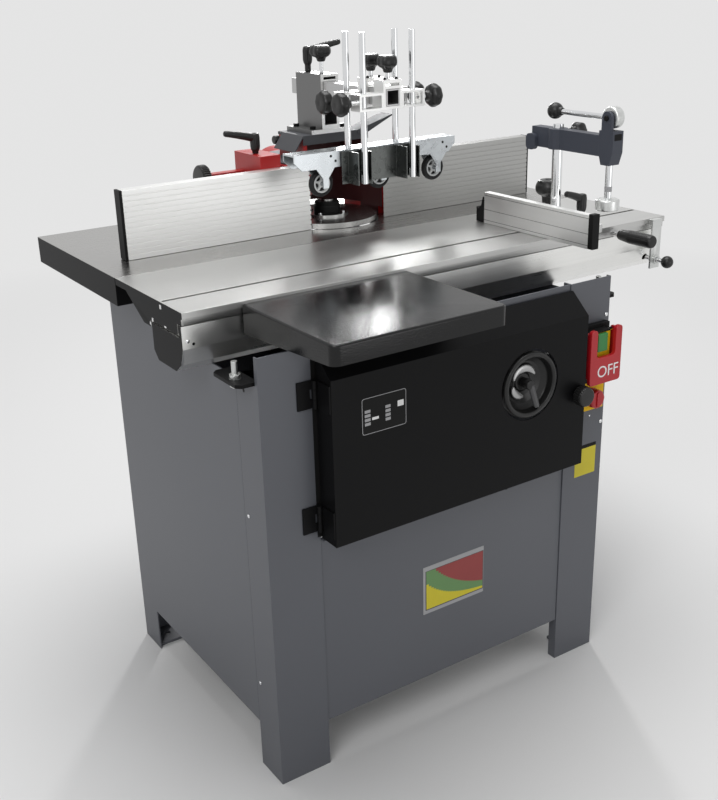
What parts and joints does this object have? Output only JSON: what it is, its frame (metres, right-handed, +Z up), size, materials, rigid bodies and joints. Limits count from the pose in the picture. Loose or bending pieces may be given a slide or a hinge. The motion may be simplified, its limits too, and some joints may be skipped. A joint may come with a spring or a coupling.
{
  "type": "spindle moulder",
  "caption": "Floor-standing spindle moulder with sliding table, mitre fence with hold-down clamp, hood with fence plates and a roller pressure device.",
  "frame": {"origin": "on the floor under the middle of the machine's bounding box", "axes": "+X to the operator's right along the sliding table, +Y from the front to the back, +Z up"},
  "size_m": [1.075, 0.93, 1.228],
  "materials": {
    "grey_paint": "semi-gloss",
    "black_paint": "semi-gloss",
    "ground_iron": "ground",
    "cast_iron": "satin",
    "aluminium": "anodised",
    "steel": "brushed",
    "galvanised": "galvanised",
    "chrome": "polished",
    "red_paint": "gloss",
    "dark_paint": "satin",
    "black_plastic": "matte",
    "red_plastic": "gloss",
    "green_plastic": "gloss",
    "rubber": "matte"
  },
  "bodies": {
    "frame": {"front_posts": "grey_paint", "side_sheets": "grey_paint", "front_panel": "grey_paint", "back_panel": "grey_paint", "table": "ground_iron", "slide_rail": "aluminium", "rail_brackets": "black_paint", "hinge_leaves": "black_paint", "lift_guide": "steel", "switch_box": "black_plastic"},
    "door": {"door": "black_paint"},
    "handwheel": {"handwheel": "aluminium"},
    "wheel_lock": {"wheel_lock_lever": "cast_iron"},
    "lift_screw": {"lift_screw": "steel"},
    "carriage": {"quill_housing": "cast_iron", "quill_bearings": "steel", "motor_body": "cast_iron", "drive_belt": "rubber"},
    "spindle": {"spindle_shaft": "steel", "spindle_disc": "steel", "spacer_rings": "black_paint"},
    "motor_rotor": {"motor_pulley": "cast_iron"},
    "slide": {"sliding_table": "aluminium", "support_plate": "black_paint", "push_grip": "black_plastic"},
    "index_plunger": {"index_plunger": "steel"},
    "mitre": {"mitre_body": "aluminium"},
    "mitre_fence": {"mitre_fence": "aluminium"},
    "hood": {"hood": "red_paint", "hood_lid": "dark_paint", "column": "aluminium"},
    "mitre_knob": {"mitre_knob": "black_plastic"},
    "mitre_lever": {"mitre_lever": "black_plastic"},
    "clamp_post": {"clamp_post": "chrome"},
    "clamp_arm": {"clamp_arm": "cast_iron"},
    "clamp_lever": {"clamp_lever": "chrome"},
    "clamp_plunger": {"clamp_plunger": "steel"},
    "stop_paddle": {"stop_paddle": "red_plastic"},
    "on_button": {"on_button": "green_plastic"},
    "rotary_knob": {"rotary_knob": "red_plastic"},
    "door_knob": {"door_knob": "black_plastic"},
    "left_carrier": {"left_carrier": "red_paint"},
    "micro_knob": {"micro_knob": "black_plastic"},
    "carrier_lever": {"carrier_lever": "black_plastic"},
    "left_fence": {"left_fence": "aluminium"},
    "right_fence": {"right_fence": "aluminium"},
    "arm": {"arm": "aluminium"},
    "front_bracket": {"front_bracket": "aluminium"},
    "rear_bracket": {"rear_bracket": "aluminium"},
    "front_top_knob": {"front_top_knob": "black_plastic"},
    "rear_top_knob": {"rear_top_knob": "black_plastic"},
    "front_side_knobs": {"front_side_knobs": "black_plastic"},
    "rear_side_knobs": {"rear_side_knobs": "black_plastic"},
    "column_knob": {"column_knob": "black_plastic"},
    "column_lever": {"column_lever": "black_plastic"},
    "front_shoe": {"front_shoe": "galvanised"},
    "roller_beam": {"roller_beam": "galvanised"},
    "roller_left": {"roller_left": "rubber"},
    "roller_middle": {"roller_middle": "rubber"},
    "roller_right": {"roller_right": "rubber"}
  },
  "joints": [
    {"name": "door_hinge", "type": "hinge", "parent": "frame", "child": "door", "pos_m": [-0.3786, -0.321, 0.6], "axis": [0, 0, 1], "range_deg": [-95, 0]},
    {"name": "carriage_lift", "type": "slide", "parent": "frame", "child": "carriage", "axis": [0, 0, 1], "range_m": [-0.06, 0.04]},
    {"name": "wheel_turn", "type": "hinge", "parent": "frame", "child": "handwheel", "pos_m": [0.038, -0.35, 0.647], "axis": [0, 1, 0], "range_deg": [-2710, 1810]},
    {"name": "screw_turn", "type": "hinge", "parent": "frame", "child": "lift_screw", "pos_m": [0.038, 0.104, 0.7], "axis": [0, 0, 1], "range_deg": [-1810, 2710]},
    {"name": "wheel_lock_turn", "type": "hinge", "parent": "handwheel", "child": "wheel_lock", "pos_m": [0.038, -0.36, 0.647], "axis": [0, 1, 0], "range_deg": [-60, 60]},
    {"name": "spindle_spin", "type": "hinge", "parent": "carriage", "child": "spindle", "pos_m": [0, 0.23, 0.7], "axis": [0, 0, 1], "continuous": true},
    {"name": "motor_spin", "type": "hinge", "parent": "carriage", "child": "motor_rotor", "pos_m": [-0.15, 0.04, 0.54], "axis": [0, 0, 1], "continuous": true},
    {"name": "table_slide", "type": "slide", "parent": "frame", "child": "slide", "axis": [1, 0, 0], "range_m": [-0.45, 0.35]},
    {"name": "index_press", "type": "slide", "parent": "slide", "child": "index_plunger", "axis": [0, 1, 0], "range_m": [0, 0.013], "stiffness_N_per_m": 400},
    {"name": "mitre_turn", "type": "hinge", "parent": "slide", "child": "mitre", "pos_m": [0.291, -0.119, 0.855], "axis": [0, 0, 1], "range_deg": [-45, 45]},
    {"name": "fence_shift", "type": "slide", "parent": "mitre", "child": "mitre_fence", "axis": [0, 1, 0], "range_m": [-0.04, 0.04]},
    {"name": "mitre_knob_turn", "type": "hinge", "parent": "mitre", "child": "mitre_knob", "pos_m": [0.291, -0.119, 0.9], "axis": [0, 0, 1], "range_deg": [-180, 180]},
    {"name": "mitre_lever_turn", "type": "hinge", "parent": "mitre", "child": "mitre_lever", "pos_m": [0.312, -0.19, 0.9], "axis": [0, 0, 1], "range_deg": [0, 60]},
    {"name": "clamp_swing", "type": "hinge", "parent": "mitre", "child": "clamp_post", "pos_m": [0.266, -0.167, 0.95], "axis": [0, 0, 1], "range_deg": [-100, 100]},
    {"name": "clamp_height", "type": "slide", "parent": "clamp_post", "child": "clamp_arm", "axis": [0, 0, 1], "range_m": [-0.006, 0.02]},
    {"name": "clamp_lever_turn", "type": "hinge", "parent": "clamp_arm", "child": "clamp_lever", "pos_m": [0.266, -0.3, 1.078], "axis": [1, 0, 0], "range_deg": [0, 100]},
    {"name": "clamp_press", "type": "slide", "parent": "clamp_arm", "child": "clamp_plunger", "axis": [0, 0, 1], "range_m": [0, 0.0095]},
    {"name": "paddle_swing", "type": "hinge", "parent": "frame", "child": "stop_paddle", "pos_m": [0.223, -0.337, 0.702], "axis": [1, 0, 0], "range_deg": [-50, 4]},
    {"name": "on_press", "type": "slide", "parent": "frame", "child": "on_button", "axis": [0, 1, 0], "range_m": [0, 0.003], "stiffness_N_per_m": 300},
    {"name": "dial_turn", "type": "hinge", "parent": "frame", "child": "rotary_knob", "pos_m": [0.229, -0.33, 0.567], "axis": [0, 1, 0], "range_deg": [0, 90]},
    {"name": "door_knob_turn", "type": "hinge", "parent": "door", "child": "door_knob", "pos_m": [0.156, -0.37, 0.602], "axis": [0, 1, 0], "range_deg": [0, 90]},
    {"name": "hood_slide", "type": "slide", "parent": "frame", "child": "hood", "axis": [0, 1, 0], "range_m": [-0.028, 0.003]},
    {"name": "carrier_slide", "type": "slide", "parent": "hood", "child": "left_carrier", "axis": [0, 1, 0], "range_m": [-0.01, 0]},
    {"name": "micro_turn", "type": "hinge", "parent": "left_carrier", "child": "micro_knob", "pos_m": [-0.255, 0.265, 0.957], "axis": [1, 0, 0], "range_deg": [-1210, 5]},
    {"name": "carrier_lever_turn", "type": "hinge", "parent": "left_carrier", "child": "carrier_lever", "pos_m": [-0.16, 0.23, 1.02], "axis": [0, 0, 1], "range_deg": [-60, 60]},
    {"name": "left_fence_shift", "type": "slide", "parent": "left_carrier", "child": "left_fence", "axis": [1, 0, 0], "range_m": [-0.06, 0]},
    {"name": "right_fence_shift", "type": "slide", "parent": "hood", "child": "right_fence", "axis": [1, 0, 0], "range_m": [0, 0.06]},
    {"name": "arm_reach", "type": "slide", "parent": "hood", "child": "arm", "axis": [0, 1, 0], "range_m": [-0.02, 0.04]},
    {"name": "front_bracket_shift", "type": "slide", "parent": "arm", "child": "front_bracket", "axis": [0, 1, 0], "range_m": [-0.008, 0.002]},
    {"name": "rear_bracket_shift", "type": "slide", "parent": "arm", "child": "rear_bracket", "axis": [0, 1, 0], "range_m": [-0.002, 0.06]},
    {"name": "front_shoe_height", "type": "slide", "parent": "front_bracket", "child": "front_shoe", "axis": [0, 0, 1], "range_m": [-0.1, 0.07]},
    {"name": "roller_height", "type": "slide", "parent": "rear_bracket", "child": "roller_beam", "axis": [0, 0, 1], "range_m": [-0.07, 0.06]},
    {"name": "roller_left_spin", "type": "hinge", "parent": "roller_beam", "child": "roller_left", "pos_m": [-0.118, 0.06, 0.961], "axis": [0, 1, 0], "continuous": true},
    {"name": "roller_middle_spin", "type": "hinge", "parent": "roller_beam", "child": "roller_middle", "pos_m": [0.013, 0.06, 0.961], "axis": [0, 1, 0], "continuous": true},
    {"name": "roller_right_spin", "type": "hinge", "parent": "roller_beam", "child": "roller_right", "pos_m": [0.144, 0.06, 0.961], "axis": [0, 1, 0], "continuous": true},
    {"name": "front_top_knob_turn", "type": "hinge", "parent": "front_bracket", "child": "front_top_knob", "pos_m": [0, 0.004, 1.165], "axis": [0, 0, 1], "range_deg": [-180, 180]},
    {"name": "front_side_knob_turn", "type": "hinge", "parent": "front_bracket", "child": "front_side_knobs", "pos_m": [0, 0.004, 1.107], "axis": [1, 0, 0], "range_deg": [-180, 180]},
    {"name": "rear_top_knob_turn", "type": "hinge", "parent": "rear_bracket", "child": "rear_top_knob", "pos_m": [0, 0.059, 1.165], "axis": [0, 0, 1], "range_deg": [-180, 180]},
    {"name": "rear_side_knob_turn", "type": "hinge", "parent": "rear_bracket", "child": "rear_side_knobs", "pos_m": [0, 0.059, 1.107], "axis": [1, 0, 0], "range_deg": [-180, 180]},
    {"name": "column_knob_turn", "type": "hinge", "parent": "hood", "child": "column_knob", "pos_m": [0, 0.232, 1.16], "axis": [0, 0, 1], "range_deg": [-180, 180]},
    {"name": "column_lever_turn", "type": "hinge", "parent": "hood", "child": "column_lever", "pos_m": [-0.002, 0.28, 1.16], "axis": [0, 0, 1], "range_deg": [-35, 60]}
  ],
  "couplings": [
    {"joint": "wheel_turn", "follows": "carriage_lift", "rad_per_m": 785.4},
    {"joint": "screw_turn", "follows": "carriage_lift", "rad_per_m": -785.4},
    {"joint": "motor_spin", "follows": "spindle_spin", "ratio": 0.75},
    {"joint": "clamp_press", "follows": "clamp_lever_turn", "m_per_rad": 0.005},
    {"joint": "micro_turn", "follows": "carrier_slide", "rad_per_m": 2094.4}
  ]
}
